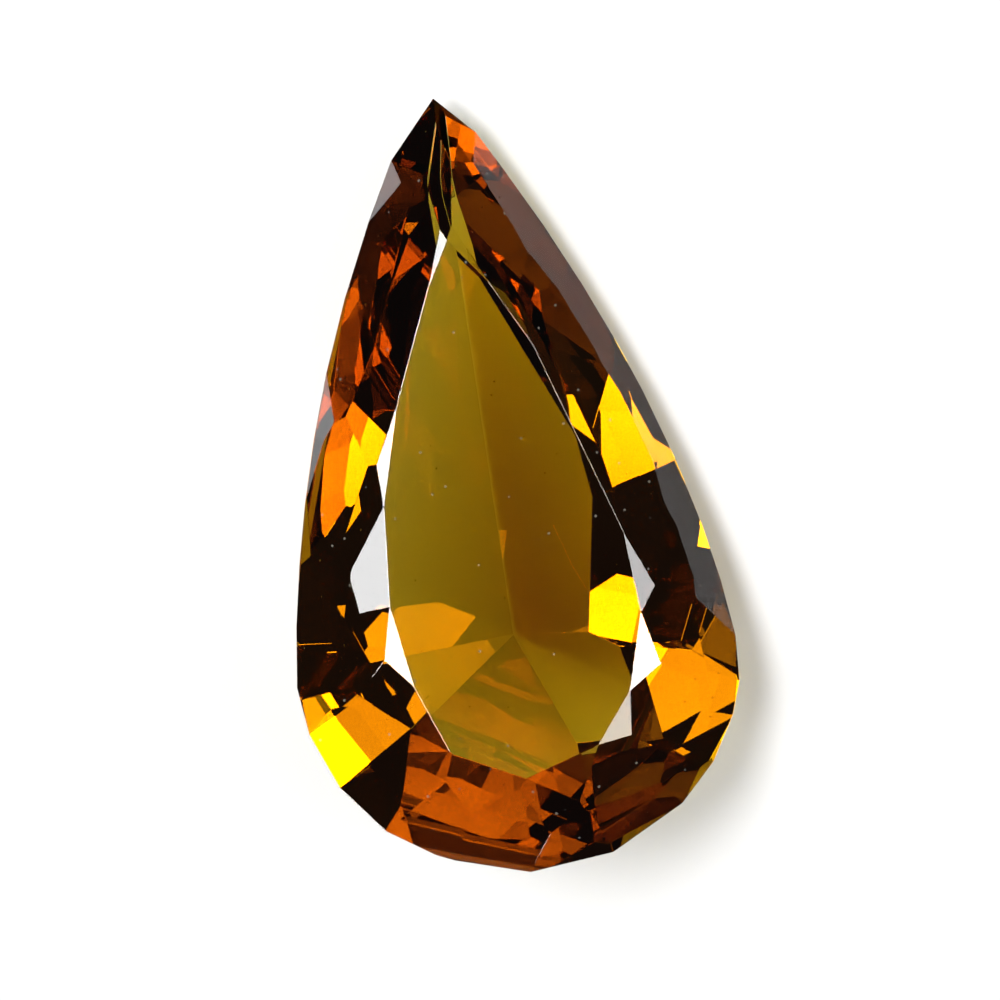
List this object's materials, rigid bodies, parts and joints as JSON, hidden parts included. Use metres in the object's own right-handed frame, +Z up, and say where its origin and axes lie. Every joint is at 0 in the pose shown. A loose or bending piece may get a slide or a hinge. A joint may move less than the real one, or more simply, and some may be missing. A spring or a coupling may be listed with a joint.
{
  "type": "faceted pear-cut citrine gemstone",
  "caption": "Faceted drop-shaped citrine with a broad flat table, brilliant crown facets and a keeled pavilion, lying loose on a pavilion facet.",
  "frame": {"origin": "Middle of the stone's box at its lowest level, on the surface that it lies on.", "axes": "+X runs along the stone towards its point, -Y is the side that the table faces, and +Z is up."},
  "size_m": [0.0238, 0.013, 0.0092],
  "materials": {
    "citrine": "polished, clear golden to brown-red, seen through"
  },
  "bodies": {
    "root": {"citrine": "citrine"}
  },
  "joints": []
}
